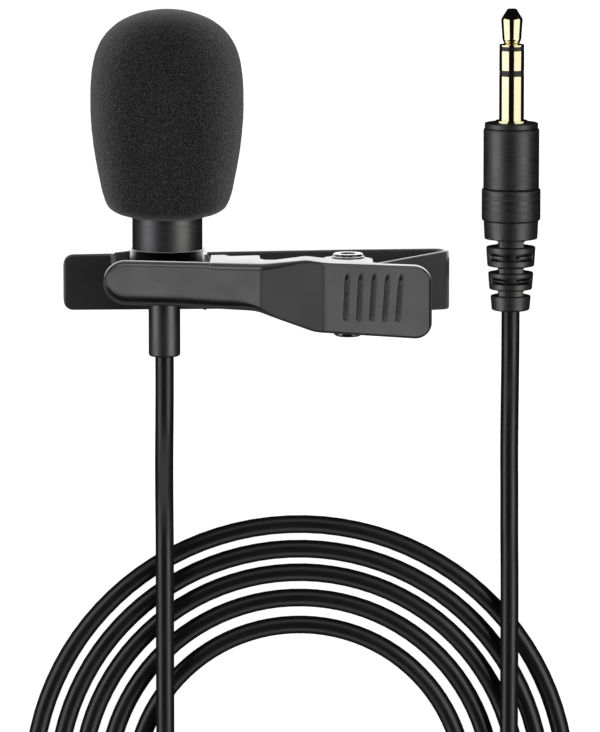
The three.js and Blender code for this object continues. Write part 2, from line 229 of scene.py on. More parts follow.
def add_studio(contacts, plug, cord, lever, clip_pieces, collar, foam):
    """One main pair of soft boxes, and more for the pieces that it doesn't suit."""
    bpy.context.scene.view_settings.view_transform = "Standard"
    add_world()
    add_main_boxes([lever, collar, *contacts, *plug])
    light_plug(plug, contacts)
    light_foam(foam)
    light_cord(cord)
    light_lever(lever)
    light_clip(clip_pieces, collar)


def add_floor(foam):
    """A white surface that glows evenly; its glow leaves the foam alone."""
    half = 1.5
    corners = [(-half, -half, 0), (half, -half, 0), (half, half, 0), (-half, half, 0)]
    mesh = bpy.data.meshes.new("floor")
    mesh.from_pydata(corners, [], [(0, 1, 2, 3)])
    floor = bpy.data.objects.new("floor", mesh)
    bpy.context.scene.collection.objects.link(floor)
    floor.visible_glossy = False
    floor.visible_shadow = False
    floor.data.materials.append(floor_material())
    light_only(floor, [foam], "EXCLUDE")


# ---------------------------------------------------------------- node helpers

def new_material(name, colour, roughness, metallic=0.0, specular=0.5):
    material = bpy.data.materials.new(name)
    material.use_nodes = True
    shader = material.node_tree.nodes["Principled BSDF"]
    shader.inputs["Base Color"].default_value = (*colour, 1.0)
    shader.inputs["Roughness"].default_value = roughness
    shader.inputs["Metallic"].default_value = metallic
    shader.inputs["Specular IOR Level"].default_value = specular
    return material, material.node_tree, shader


def place_noise(tree, scale, detail=3.0, stretch=(1, 1, 1)):
    """Noise in the object's own space; scale is in cells per metre."""
    coords = tree.nodes.new("ShaderNodeTexCoord")
    mapping = tree.nodes.new("ShaderNodeMapping")
    mapping.inputs["Scale"].default_value = [scale * part for part in stretch]
    texture = tree.nodes.new("ShaderNodeTexNoise")
    texture.inputs["Scale"].default_value = 1.0
    texture.inputs["Detail"].default_value = detail
    tree.links.new(coords.outputs["Object"], mapping.inputs["Vector"])
    tree.links.new(mapping.outputs["Vector"], texture.inputs["Vector"])
    return texture.outputs["Fac"]


def place_ramp(tree, value, stops):
    """A colour ramp through (position, grey or colour) stops."""
    ramp = tree.nodes.new("ShaderNodeValToRGB")
    elements = ramp.color_ramp.elements
    while len(elements) < len(stops):
        elements.new(0.5)
    for element, (position, colour) in zip(elements, stops):
        if not isinstance(colour, tuple):
            colour = (colour, colour, colour)
        element.position = position
        element.color = (*colour, 1.0)
    tree.links.new(value, ramp.inputs["Fac"])
    return ramp.outputs["Color"]


def place_bump(tree, shader, height, distance):
    bump = tree.nodes.new("ShaderNodeBump")
    bump.inputs["Distance"].default_value = distance
    tree.links.new(height, bump.inputs["Height"])
    tree.links.new(bump.outputs["Normal"], shader.inputs["Normal"])


def vary(tree, shader, socket, value, stops):
    """Drives one of the shader's sockets through a ramp."""
    tree.links.new(place_ramp(tree, value, stops), shader.inputs[socket])


def shades(colour, low, high, marks=(0.35, 0.65)):
    """Ramp stops from a darker to a lighter shade of the colour."""
    return [(mark, tuple(part * shade for part in colour)) for mark, shade in zip(marks, (low, high))]


# ---------------------------------------------------------------- materials

def floor_material():
    material, tree, shader = new_material("floor_white", (0.9, 0.9, 0.9), 1.0, specular=0.0)
    vary(tree, shader, "Base Color", place_noise(tree, 40), [(0.0, 0.3), (1.0, 0.34)])
    shader.inputs["Emission Color"].default_value = (1.0, 1.0, 1.0, 1.0)
    shader.inputs["Emission Strength"].default_value = 1.0
    return material


def foam_material():
    """Open cells: a speckle whose dark spots are painted shade in the pores, between paler strands,
    with a faint sheen.
    """
    material, tree, shader = new_material("foam", (0.02, 0.02, 0.02), 1.0, specular=0.1)
    shader.inputs["Sheen Weight"].default_value = 0.15
    shader.inputs["Sheen Roughness"].default_value = 0.35
    cells = place_noise(tree, 6500, detail=2.0)
    # the ramp's darkest stops are painted shade inside the open cells
    vary(tree, shader, "Base Color", cells, [(0.3, 0.003), (0.5, 0.02), (0.72, 0.075)])
    place_bump(tree, shader, place_noise(tree, 7500, detail=1.0), 0.00008)
    return material


def satin_material(name, colour, roughness, grain=0.00001, specular=0.5, metallic=0.0):
    """A coated sheet: fine orange peel, and a roughness that drifts a little."""
    material, tree, shader = new_material(name, colour, roughness, metallic, specular)
    drift = place_noise(tree, 260, detail=4.0)
    vary(tree, shader, "Roughness", drift, [(0.3, roughness * 0.94), (0.7, roughness * 1.06)])
    tone = place_noise(tree, 90, detail=5.0)
    vary(tree, shader, "Base Color", tone, shades(colour, 0.97, 1.03))
    place_bump(tree, shader, place_noise(tree, 5000, detail=2.0), grain)
    return material


def turned_material(name, colour, roughness, specular=0.5, lines=0.000012):
    """Lathe-turned metal: very fine lines round the axis, which lies along Y."""
    material, tree, shader = new_material(name, colour, roughness, specular=specular)
    fine = place_noise(tree, 1.0, detail=3.0, stretch=(60, 9000, 60))
    vary(tree, shader, "Roughness", fine, [(0.3, roughness * 0.8), (0.7, roughness * 1.2)])
    vary(tree, shader, "Base Color", fine, shades(colour, 0.75, 1.35))
    place_bump(tree, shader, fine, lines)
    return material


def gold_material():
    material, tree, shader = new_material("gold_contact", (0.97, 0.88, 0.58), 0.1, metallic=1.0)
    wear = place_noise(tree, 1.0, detail=4.0, stretch=(300, 4000, 300))
    vary(tree, shader, "Roughness", wear, [(0.3, 0.04), (0.7, 0.09)])
    vary(tree, shader, "Base Color", place_noise(tree, 220),
         [(0.35, (0.96, 0.86, 0.54)), (0.65, (0.98, 0.9, 0.62))])
    return material


def rubber_material(name, colour, roughness, grain, specular=0.5):
    """A moulded skin: speckled, with a roughness that handling has smeared."""
    material, tree, shader = new_material(name, colour, roughness, specular=specular)
    speckle = place_noise(tree, 2600, detail=3.0)
    vary(tree, shader, "Base Color", speckle, shades(colour, 0.75, 1.3, (0.3, 0.7)))
    smear = place_noise(tree, 300, detail=4.0)
    vary(tree, shader, "Roughness", smear, [(0.3, roughness * 0.88), (0.7, roughness * 1.12)])
    place_bump(tree, shader, speckle, grain)
    return material


def steel_material():
    material, tree, shader = new_material("steel", (0.62, 0.62, 0.63), 0.3, metallic=1.0)
    brushed = place_noise(tree, 1.0, detail=4.0, stretch=(4000, 500, 4000))
    vary(tree, shader, "Roughness", brushed, [(0.3, 0.22), (0.7, 0.42)])
    return material


def mesh_material():
    """Woven steel cloth: the holes between the wires are painted dark, as painted shade in the
    openings.
    """
    material, tree, shader = new_material("grille_mesh", (0.5, 0.5, 0.5), 0.35, metallic=1.0)
    coords = tree.nodes.new("ShaderNodeTexCoord")
    checker = tree.nodes.new("ShaderNodeTexChecker")
    checker.inputs["Scale"].default_value = 4000
    checker.inputs["Color1"].default_value = (0.55, 0.55, 0.55, 1.0)
    # Color2 is painted shade in the holes between the wires
    checker.inputs["Color2"].default_value = (0.03, 0.03, 0.03, 1.0)
    tree.links.new(coords.outputs["Object"], checker.inputs["Vector"])
    tree.links.new(checker.outputs["Color"], shader.inputs["Base Color"])
    return material


MATERIALS = {
    "foam": foam_material(),
    "barrel_black": turned_material("barrel_black", (0.006, 0.006, 0.0065), 0.46, 0.85, 0.000003),
    "steel": steel_material(),
    "rubber_black": rubber_material("rubber_black", (0.008, 0.008, 0.008), 0.44, 0.000012, 0.7),
    "relief_black": rubber_material("relief_black", (0.006, 0.006, 0.0063), 0.44, 0.000006, 0.85),
    "board_green": satin_material("board_green", (0.02, 0.12, 0.05), 0.45),
    "lead_red": rubber_material("lead_red", (0.35, 0.02, 0.02), 0.4, 0.000005),
    "plastic_black": rubber_material("plastic_black", (0.012, 0.012, 0.012), 0.3, 0.000004),
    "lever_grey": satin_material("lever_grey", (0.1, 0.1, 0.101), 0.33, 0.000004, metallic=1.0),
    "clip_black": satin_material("clip_black", (0.03, 0.03, 0.0305), 0.3, 0.000003, 0.5),
    "gold_contact": gold_material(),
    "shell_black": turned_material("shell_black", (0.004, 0.004, 0.004), 0.47, 0.7, 0.00003),
    "cord_black": rubber_material("cord_black", (0.004, 0.004, 0.004), 0.34, 0.000004, 0.36),
}
# The rivet is polished; its slot stays clip_black.
RIVET_LOOK = satin_material("rivet_black", (0.006, 0.006, 0.006), 0.12, 0.000002, 0.9)


# ---------------------------------------------------------------- mesh helpers

def make_piece(name, verts, faces, slot, body, crease=35):
    """A smooth-shaded mesh piece in the row frame, with its finish, riding on a body."""
    mesh = bpy.data.meshes.new(name)
    mesh.from_pydata(verts, [], faces)
    mesh.validate()
    mesh.shade_smooth()
    mesh.set_sharp_from_angle(angle=math.radians(crease))
    piece = bpy.data.objects.new(name, mesh)
    bpy.context.scene.collection.objects.link(piece)
    mesh.materials.append(MATERIALS[slot])
    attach(piece, body)
    return piece


def make_wire(name, line, radius, resolution, slot, body):
    """A round wire along close points, with its finish, riding on a body."""
    curve = bpy.data.curves.new(name, "CURVE")
    curve.dimensions = "3D"
    spline = curve.splines.new("POLY")
    spline.points.add(len(line) - 1)
    for point, place in zip(spline.points, line):
        point.co = (*place, 1.0)
    curve.bevel_depth = radius * MM
    curve.bevel_resolution = resolution
    curve.use_fill_caps = True
    curve.materials.append(MATERIALS[slot])
    wire = bpy.data.objects.new(name, curve)
    bpy.context.scene.collection.objects.link(wire)
    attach(wire, body)
    return wire


def soften(points, radius, steps=4):
    """Rounds each corner of an open (r, y) outline, as far as its two edges allow."""
    soft = [points[0]]
    for before, here, after in zip(points, points[1:], points[2:]):
        before, here, after = Vector(before), Vector(here), Vector(after)
        reach = min(radius, 0.45 * (here - before).length, 0.45 * (after - here).length)
        start = here + (before - here).normalized() * reach
        end = here + (after - here).normalized() * reach
        for k in range(steps + 1):
            t = k / steps
            soft.append(tuple(start * (1 - t) ** 2 + here * 2 * t * (1 - t) + end * t * t))
    soft.append(points[-1])
    return soft


def lathe(profile, centre, sides=96, radius_at=None):
    """Vertices and faces of a solid of revolution about a line along Y.

    profile runs from (r, y) to (r, y) in millimetres from ORIGIN's height; it starts and
    ends on the axis, or at the same point. radius_at(r, y, turn) may reshape the section.
    """
    closed = profile[0] == profile[-1]
    line = profile[:-1] if closed else profile
    verts = []
    rings = []
    for r, y in line:
        if r < 1e-6:
            rings.append([len(verts)])
            verts.append((centre.x, ORIGIN.y + y * MM, centre.z))
            continue
        rings.append(list(range(len(verts), len(verts) + sides)))
        for k in range(sides):
            turn = 2 * math.pi * k / sides
            reach = (radius_at(r, y, turn) if radius_at else r) * MM
            verts.append((centre.x + reach * math.cos(turn), ORIGIN.y + y * MM,
                          centre.z - reach * math.sin(turn)))
    faces = []
    pairs = list(zip(rings, rings[1:]))
    if closed:
        pairs.append((rings[-1], rings[0]))
    for low, high in pairs:
        for k in range(sides):
            after = (k + 1) % sides
            if len(low) == 1:
                faces.append((low[0], high[after], high[k]))
            elif len(high) == 1:
                faces.append((low[k], low[after], high[0]))
            else:
                faces.append((low[k], low[after], high[after], high[k]))
    return verts, faces


def turned(name, profile, centre, slot, body, sides=96, soft=0.15, radius_at=None):
    """A lathe-made piece whose profile's corners are rounded."""
    outline = soften(profile, soft) if soft else profile
    verts, faces = lathe(outline, centre, sides, radius_at)
    return make_piece(name, verts, faces, slot, body)


def disc_profile(radius, low, high):
    return [(0, low), (radius, low), (radius, high), (0, high)]


def tube_profile(inner, outer, low, high):
    """A ring's section; it starts in the middle of its inner wall."""
    half = (low + high) / 2
    return [(inner, half), (inner, low), (outer, low), (outer, high), (inner, high), (inner, half)]


def loft(rings):
    """Faces through equal rings of points, with both ends closed."""
    count = len(rings[0])
    verts = [tuple(point) for ring in rings for point in ring]
    faces = []
    for i in range(len(rings) - 1):
        for k in range(count):
            a = i * count + k
            b = i * count + (k + 1) % count
            faces.append((a, b, b + count, a + count))
    faces.append(tuple(reversed(range(count))))
    last = (len(rings) - 1) * count
    faces.append(tuple(range(last, last + count)))
    return verts, faces


def round_in(distance, radius):
    """How far a rounded edge stands in, at a distance from where the edge ends."""
    if distance >= radius:
        return 0.0
    return radius - math.sqrt(max(0.0, radius ** 2 - (radius - distance) ** 2))


def smooth_step(value):
    value = min(1.0, max(0.0, value))
    return value * value * (3 - 2 * value)


# ---------------------------------------------------------------- cord

CORD_R = 1.3

# From the microphone, over the coil and down inside it (metres from the axis, floor up).
MIC_RUN = [
    (-0.00045, -0.0100, 0.0107), (-0.00045, -0.0140, 0.0107), (-0.0005, -0.0190, 0.0101),
    (-0.0006, -0.0250, 0.0082), (-0.00065, -0.0310, 0.0058), (-0.00065, -0.0365, 0.0045),
    (-0.00065, -0.0420, 0.00425), (-0.00065, -0.0540, 0.00425), (-0.00065, -0.0610, 0.00425),
    (-0.00065, -0.0660, 0.0041), (-0.00065, -0.0705, 0.0026), (-0.0009, -0.0760, 0.0014),
]

# From the plug, down to the surface and up over the coil's right side.
PLUG_RUN = [
    (0.0482, -0.00445, 0.00414), (0.0482, -0.0080, 0.00414), (0.0482, -0.0130, 0.0035),
    (0.0482, -0.0190, 0.0022), (0.0482, -0.0250, 0.0015), (0.04825, -0.0310, 0.00135),
    (0.04825, -0.0360, 0.0018), (0.04825, -0.0410, 0.0034), (0.04825, -0.0460, 0.00425),
    (0.04825, -0.0540, 0.00425), (0.04825, -0.0640, 0.00425), (0.04825, -0.0740, 0.00425),
    (0.04825, -0.0840, 0.00425), (0.0479, -0.0915, 0.00425), (0.0470, -0.0975, 0.00425),
]

# Where the coil's last turn climbs to meet the run above.
COIL_EXIT = [(0.0451, -0.1022, 0.0034), (0.0419, -0.1062, 0.0020)]

# How far the cord's ends run on inside the strain relief and the boot.
IN_RELIEF = 0.0015
IN_BOOT = 0.0045

# The coil keeps one radius (mm) over the far half of each turn and steps out over the near half.
COIL_RADII = [23.65, 27.55, 31.2, 34.6, 38.15, 42.0]
COIL_START = (205, 21.1)  # degrees and radius at its inner end
COIL_STOP = 2086  # degrees before which its outer end lies
COIL_STEP = 15


def coil_radius(degrees):
    turn = degrees // 360
    step = smooth_step((degrees % 360 - 180) / 180)
    if turn == 0:
        start, inner = COIL_START
        return inner + (COIL_RADII[0] - inner) * (degrees - start) / (360 - start)
    return COIL_RADII[turn - 1] + (COIL_RADII[turn] - COIL_RADII[turn - 1]) * step


def coil_points():
    points = []
    for degrees in range(COIL_START[0], COIL_STOP, COIL_STEP):
        turn = math.radians(degrees)
        reach = coil_radius(degrees) * MM
        points.append(Vector((COIL.x + reach * math.cos(turn), COIL.y + reach * math.sin(turn),
                              CORD_R * MM)))
    return points


def smooth_line(points, steps):
    """A centripetal curve through the points, as close points."""
    line = []
    for i in range(len(points) - 1):
        p1, p2 = points[i], points[i + 1]
        p0 = points[i - 1] if i else p1 * 2 - p2
        p3 = points[i + 2] if i + 2 < len(points) else p2 * 2 - p1
        t1 = (p1 - p0).length ** 0.5
        t2 = t1 + (p2 - p1).length ** 0.5
        t3 = t2 + (p3 - p2).length ** 0.5
        for k in range(steps):
            t = t1 + (t2 - t1) * k / steps
            a1 = p0 * ((t1 - t) / t1) + p1 * (t / t1)
            a2 = p1 * ((t2 - t) / (t2 - t1)) + p2 * ((t - t1) / (t2 - t1))
            a3 = p2 * ((t3 - t) / (t3 - t2)) + p3 * ((t - t2) / (t3 - t2))
            b1 = a1 * ((t2 - t) / t2) + a2 * (t / t2)
            b2 = a2 * ((t3 - t) / (t3 - t1)) + a3 * ((t - t1) / (t3 - t1))
            line.append(b1 * ((t2 - t) / (t2 - t1)) + b2 * ((t - t1) / (t2 - t1)))
    line.append(points[-1])
    return line


def add_cord():
    """One cord from the strain relief through the coil to the plug."""
    def placed(route):
        return [Vector((ORIGIN.x + u, ORIGIN.y + y, z)) for u, y, z in route]

    mic_end = [(MIC_RUN[0][0], MIC_RUN[0][1] + IN_RELIEF, MIC_RUN[0][2])]
    plug_end = [(PLUG_RUN[0][0], PLUG_RUN[0][1] + IN_BOOT, PLUG_RUN[0][2])]
    route = placed(mic_end + MIC_RUN) + coil_points()
    route += reversed(placed(plug_end + PLUG_RUN + COIL_EXIT))
    cord = make_wire("cord", smooth_line(route, 4), CORD_R, 6, "cord_black", "microphone")
    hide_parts("cord_mic_run", "cord_coil", "cord_plug_run")
    return cord


# ---------------------------------------------------------------- microphone

BARREL_R = 4.9
BARREL_LOW = -1.8
BARREL_HIGH = 26.0
BARREL_WALL = 0.7

FOAM_R = 10.7
POCKET_R = BARREL_R + 0.05
POCKET_ROOF = BARREL_HIGH + 2.2

# The foam's outline from its mouth to its top: shares of its length and of its full radius.
FOAM_MARKS = [(0.0, 0.40), (0.004, 0.5), (0.019, 0.65), (0.048, 0.765), (0.105, 0.835),
              (0.185, 0.885), (0.328, 0.955), (0.475, 0.995), (0.56, 1.0), (0.64, 0.995),
              (0.72, 0.973), (0.80, 0.92), (0.875, 0.81), (0.94, 0.615), (0.98, 0.37),
              (0.996, 0.16), (1.0, 0.0)]


def foam_outline():
    """The windscreen's pocket, from its roof to its mouth, and then its outer line."""
    low, high = (corner.y - ORIGIN.y for corner in map(Vector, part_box("foam_windscreen")))
    low, high = low / MM, high / MM
    rows = 20
    span = POCKET_ROOF - low - 1
    wall = [(POCKET_R, low + 0.5 + k * span / rows) for k in range(rows, -1, -1)]
    pocket = [(0, POCKET_ROOF), (POCKET_R - 0.4, POCKET_ROOF), *wall, (POCKET_R + 0.35, low + 0.02)]
    points = [Vector((r * FOAM_R, low + t * (high - low), 0)) for t, r in FOAM_MARKS]
    outer = [(p.x, p.y) for p in smooth_line(points, 16)]
    # the outline starts inside the pocket's mouth, so those points go
    outer = [(r, y) for r, y in outer if r > POCKET_R + 0.4 or y > POCKET_ROOF - 8]
    return [*pocket, *outer[:-1], (0, outer[-1][1])]


def add_foam():
    """The turned windscreen, its skin roughened by lumps and by its cells."""
    verts, faces = lathe(foam_outline(), AXIS, sides=360)
    lump_size, lump_height = 1.1 * MM, 0.015
    cell_size, cell_height = 0.3 * MM, 0.05
    sunk = 0.04  # keeps the highest cells within the outline
    shaped = []
    for vert in verts:
        place = Vector(vert)
        spoke = Vector((place.x - AXIS.x, 0, place.z - AXIS.z))
        outward = spoke.normalized() if spoke.length > 1e-6 else Vector((0, 1, 0))
        lump = noise.noise(place / lump_size) * lump_height
        cell = noise.noise(place / cell_size) * cell_height
        shaped.append(place + outward * (lump + cell - sunk) * MM)
    foam = make_piece("foam", shaped, faces, "foam", "windscreen", crease=180)
    foam.visible_glossy = False
    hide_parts("foam_windscreen")
    return foam


def add_barrel():
    """The barrel, the plug in its end and the strain relief, which is returned."""
    bore = BARREL_R - BARREL_WALL
    profile = tube_profile(bore, BARREL_R, BARREL_LOW, BARREL_HIGH)
    barrel = turned("barrel", profile, AXIS, "barrel_black", "microphone", 128, 0.25)
    barrel.visible_glossy = False
    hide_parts("mic_barrel")
    profile = disc_profile(bore - 0.02, BARREL_LOW + 0.15, BARREL_LOW + 1.7)
    end = turned("end_plug", profile, AXIS, "plastic_black", "microphone", 64, 0.2)
    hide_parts("barrel_end_plug")
    foot, full = -9.75, 2.22
    profile = [(0, foot), (full - 0.17, foot), (full, foot + 0.25), (full, BARREL_LOW),
               (0, BARREL_LOW)]
    relief = turned("relief", profile, middle("mic_strain_relief"), "relief_black",
                    "microphone", 72, 0.2)
    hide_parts("mic_strain_relief")
    return relief


def add_grille():
    """A domed cap with rings of sound holes, pressed over the barrel's mouth."""
    low, high = BARREL_HIGH + 0.05, BARREL_HIGH + 1.5
    profile = [(0, low), (BARREL_R, low), (BARREL_R, high - 0.35), (BARREL_R - 0.9, high),
               (0, high)]
    cap = turned("cap", profile, AXIS, "barrel_black", "microphone", 96, 0.3)
    cutter_verts = []
    cutter_faces = []
    holes = [(0.0, 0.0)]
    hole_r = 0.42
    for radius, count in ((1.45, 6), (2.9, 12)):
        for k in range(count):
            turn = 2 * math.pi * k / count
            holes.append((radius * math.cos(turn), radius * math.sin(turn)))
    for x, z in holes:
        centre = Vector((AXIS.x + x * MM, 0, AXIS.z + z * MM))
        verts, faces = lathe(disc_profile(hole_r, low - 1, high + 1), centre, 20)
        start = len(cutter_verts)
        cutter_verts += verts
        cutter_faces += [tuple(start + index for index in face) for face in faces]
    cut_with(cap, cutter_verts, cutter_faces)
    cap.visible_glossy = False
    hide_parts("grille_cap")


def cut_with(piece, verts, faces):
    """Cuts a piece with the solid that the faces close."""
    mesh = bpy.data.meshes.new("cutter")
    mesh.from_pydata(verts, [], faces)
    cutter = bpy.data.objects.new("cutter", mesh)
    bpy.context.scene.collection.objects.link(cutter)
    cut = piece.modifiers.new("cut", "BOOLEAN")
    cut.operation = "DIFFERENCE"
    cut.solver = "EXACT"
    cut.object = cutter
    bpy.context.view_layer.update()
    graph = bpy.context.evaluated_depsgraph_get()
    result = bpy.data.meshes.new_from_object(piece.evaluated_get(graph))
    piece.modifiers.clear()
    piece.data = result
    result.set_sharp_from_angle(angle=math.radians(35))
    bpy.data.objects.remove(cutter)


# ---------------------------------------------------------------- clip

# The lever's face, top edge and low edge, as (distance along the clip, height) points.
LEVER_FROM, LEVER_TO = -8.8, 36.75
LEVER_FRONT = [(LEVER_FROM, 6.4), (13.1, 7.3), (21.7, 10.55), (LEVER_TO, 12.3)]
LEVER_TOP = [(LEVER_FROM, 4.45), (13.3, 4.05), (19.4, 4.92), (22.3, 4.62), (LEVER_TO, 4.3)]
LEVER_LOW = [(LEVER_FROM, -1.75), (2.0, -2.0), (12.6, -2.66), (20.5, -5.08), (LEVER_TO, -5.85)]
LEVER_TIP_R = 3.15
LEVER_CORNER = 2.5
TIP_ROUND = 0.55
TAIL_ROUND = 0.5
TAIL_WALL = 1.05
SHEET = 1.0


def along(line, x):
    """Straight-line value of a line of (x, value) points; its last stretch runs on."""
    for (x0, v0), (x1, v1) in zip(line, line[1:]):
        if x <= x1:
            break
    return v0 + (v1 - v0) * (x - x0) / (x1 - x0)


def eased(line, x, reach=0.6):
    """The same line with its corners eased over a reach to each side."""
    samples = 9
    total = 0.0
    for k in range(samples):
        total += along(line, x + reach * (2 * k / (samples - 1) - 1))
    return total / samples


# How far back the upper lip runs: a deep gusset with a hook beside the ring, then the ear.
LIP_BACK = [(6.0, -2.0), (7.9, -2.8), (8.7, -1.4), (10.5, -2.1), (12.5, -2.9), (12.85, -2.6),
            (12.95, 1.0), (13.5, 2.4), (15.0, 4.2), (19.8, 4.9), (21.8, 5.2)]
LIP = 1.9
LIP_FROM = BARREL_R + 1.15
EAR_R = 3.4


def lip_depth(x, upper):
    """How deep the lever's bent-back lip is at a distance along it, from its face."""
    if x < LIP_FROM:
        return SHEET
    face = along(LEVER_FRONT, x)
    rivet = rivet_place()
    offset = x - rivet.x
    if abs(offset) < EAR_R:
        return max(LIP, face - rivet.y + math.sqrt(EAR_R ** 2 - offset ** 2))
    if offset > 0:
        return LIP + 0.8 * (1 - smooth_step((offset - EAR_R) / 1.5))
    if upper:
        return face - along(LIP_BACK, x)
    return SHEET + (face - rivet.y - SHEET) * smooth_step((x - 6) / 13)


GROOVES = 5
GROOVE_FIRST = 24.95
GROOVE_PITCH = 1.83
GROOVE_WIDTH = 0.17
GROOVE_DEPTH = 0.38
GROOVE_TOP, GROOVE_LOW = 3.5, -3.45


def groove_depth(x, y):
    """The pressed grooves of the thumb pad; each leans more than the last and has tapered ends."""
    end = smooth_step((GROOVE_TOP - y) / 2.4) * smooth_step((y - GROOVE_LOW) / 0.8)
    depth = 0.0
    for k in range(GROOVES):
        lean = 0.04 + 0.01 * k
        across = (x - GROOVE_FIRST - GROOVE_PITCH * k - (y - 0.1) * lean) / GROOVE_WIDTH
        depth = max(depth, GROOVE_DEPTH * math.exp(-across ** 2) * end)
    return depth


def lever_section(x):
    """One closed section of the lever, as (y, w) points."""
    tip = x - LEVER_FROM
    tail = LEVER_TO - x
    top = eased(LEVER_TOP, x)
    low = eased(LEVER_LOW, x)
    half = (top - low) / 2
    centre = (top + low) / 2
    if tip < LEVER_TIP_R:
        half = half - round_in(tip, LEVER_TIP_R) * half / LEVER_TIP_R
    top, low = centre + half, centre - half
    top -= round_in(tail, LEVER_CORNER)
    low += round_in(tail, LEVER_CORNER)
    face = eased(LEVER_FRONT, x, 0.35) - round_in(tip, TIP_ROUND) - round_in(tail, TAIL_ROUND)
    upper = lip_depth(x, True)
    lower = lip_depth(x, False)
    back = SHEET
    if tail < TAIL_WALL:
        back = SHEET + (min(upper, lower) - SHEET - 0.02) * smooth_step((TAIL_WALL - tail) / 0.1)
        upper = lower = max(back + 0.01, LIP)
    if tip < TIP_ROUND:
        back = upper = lower = max(0.25, SHEET - round_in(tip, TIP_ROUND))
    # the long edges are rounder on the arm than on the pad
    r_top = min(0.95 - 0.6 * smooth_step((x - 14) / 6), half * 0.9, upper * 0.75)
    r_low = min(1.7 - 1.35 * smooth_step((x - 9) / 7), half * 0.9)
    drop_low = min(r_low, lower * 0.95)
    steps = 8
    points = [(top, face - upper)]
    for k in range(steps + 1):
        turn = math.pi / 2 * k / steps
        points.append((top - r_top + r_top * math.cos(turn), face - r_top + r_top * math.sin(turn)))
    rows = 56
    for k in range(1, rows):
        y = top - r_top + (low + r_low - top + r_top) * k / rows
        points.append((y, face - groove_depth(x, y)))
    for k in range(steps + 1):
        turn = math.pi / 2 * k / steps
        drop = drop_low * (1 - math.cos(turn))
        points.append((low + r_low - r_low * math.sin(turn), face - drop))
    points.append((low, face - lower))
    wall = min(SHEET, half * 0.8)
    points.append((low + wall, face - lower))
    points.append((low + wall, face - back))
    points.append((top - wall, face - back))
    points.append((top - wall, face - upper))
    return points


def lever_stations():
    """Where the lever's sections are: close at its round tip, its grooves, its end and its steps."""
    stations = []
    tip = 0.0
    while tip < LEVER_TIP_R + 0.05:
        stations.append(LEVER_FROM + tip)
        tip += 0.02 + 0.05 * tip
    x = LEVER_FROM + tip
    for stop, step in ((24.0, 0.25), (34.4, 0.07), (35.6, 0.12), (LEVER_TO, 0.045)):
        while x < stop:
            stations.append(x)
            x += step
    ear = rivet_place().x
    steps_at = [LIP_FROM, 12.85, 12.95, ear - EAR_R, ear + EAR_R]
    stations += [mark + side for mark in steps_at for side in (-0.01, 0.01)]
    return sorted(stations)


def add_lever():
    rings = []
    for x in lever_stations():
        rings.append([at(x, y, w) for y, w in lever_section(x)])
    verts, faces = loft(rings)
    lever = make_piece("lever", verts, faces, "lever_grey", "clip_front", crease=40)
    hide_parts("front_lever")
    return lever


def band(name, line, thickness, extent, slot, body, edge=0.2, ends=(0.0, 0.0)):
    """A sheet band whose middle follows (u, w) points; extent(s, total) gives its (low, high).

    edge rounds its four long edges; ends round its two end corners, seen from the front.
    """
    points = [Vector((u, w)) for u, w in line]
    lengths = [0.0]
    for a, b in zip(points, points[1:]):
        lengths.append(lengths[-1] + (b - a).length)
    total = lengths[-1]
    rings = []
    for i, point in enumerate(points):
        ahead = points[min(i + 1, len(points) - 1)]
        behind = points[max(i - 1, 0)]
        direction = (ahead - behind).normalized()
        side = Vector((-direction.y, direction.x))
        low, high = extent(lengths[i], total)
        start, end = lengths[i], total - lengths[i]
        trim = round_in(start, ends[0]) + round_in(end, ends[1])
        thin = round_in(start, edge) + round_in(end, edge)
        low, high = low + trim + thin, high - trim - thin
        half = max(0.02, thickness / 2 - thin)
        r = min(edge, half * 0.98)
        ring = []
        corners = [(half - r, high - r, 0), (r - half, high - r, 1),
                   (r - half, low + r, 2), (half - r, low + r, 3)]
        for across, y, quarter in corners:
            for k in range(4):
                turn = math.pi / 2 * (quarter + k / 3)
                offset = across + r * math.cos(turn)
                place = point + side * offset
                ring.append(at(place.x, y + r * math.sin(turn), place.y))
        rings.append(ring)
    verts, faces = loft(rings)
    return make_piece(name, verts, faces, slot, body, crease=40)


def spread(line, step):
    """The same line with a point at least every step, and close points at its two ends."""
    points = [Vector(point) for point in line]
    result = [tuple(points[0])]
    for a, b in zip(points, points[1:]):
        count = max(1, math.ceil((b - a).length / step))
        for k in range(1, count + 1):
            result.append(tuple(a.lerp(b, k / count)))
    first, second = Vector(result[0]), Vector(result[1])
    last, before = Vector(result[-1]), Vector(result[-2])
    marks = (0.02, 0.06, 0.12, 0.2)
    start = [tuple(first + (second - first).normalized() * mark) for mark in marks
             if mark < (second - first).length * 0.95]
    end = [tuple(last + (before - last).normalized() * mark) for mark in reversed(marks)
           if mark < (before - last).length * 0.95]
    return [result[0], *start, *result[1:-1], *end, result[-1]]


def rounded_line(corners, radius, steps=12):
    """A line through the corners, with true arcs at the inner ones."""
    line = [tuple(corners[0])]
    for before, here, after in zip(corners, corners[1:], corners[2:]):
        before, here, after = Vector(before), Vector(here), Vector(after)
        a = (before - here).normalized()
        b = (after - here).normalized()
        half = a.angle(b) / 2
        centre = here + (a + b).normalized() * (radius / math.sin(half))
        start = here + a * (radius / math.tan(half)) - centre
        turn = math.pi - 2 * half
        if a.x * b.y - a.y * b.x > 0:
            turn = -turn
        for k in range(steps + 1):
            spoke = start.copy()
            spoke.rotate(Matrix.Rotation(turn * k / steps, 2))
            line.append(tuple(centre + spoke))
    line.append(tuple(corners[-1]))
    return line


STRIP_HALF = 3.95
STRIP_FLARE = 0.22  # how much wider each way the strip is at its fold
STRIP_THICK = 0.85
TONGUE_TAPER = 17.0  # the tongue narrows over this length towards its knuckles
STRIP_END = Vector((-14.75, -5.1))
STRIP_SLOPE = math.radians(-5.5)
TONGUE_SLOPE = math.radians(-42.5)
FOLD_R = 1.75
KNUCKLE_R = 2.1
KNUCKLE_BORE = 1.2
KNUCKLE_HALF = 3.3  # the knuckles' outer ends, from the strip's middle
KNUCKLE_LOW = 1.95  # and their inner ends


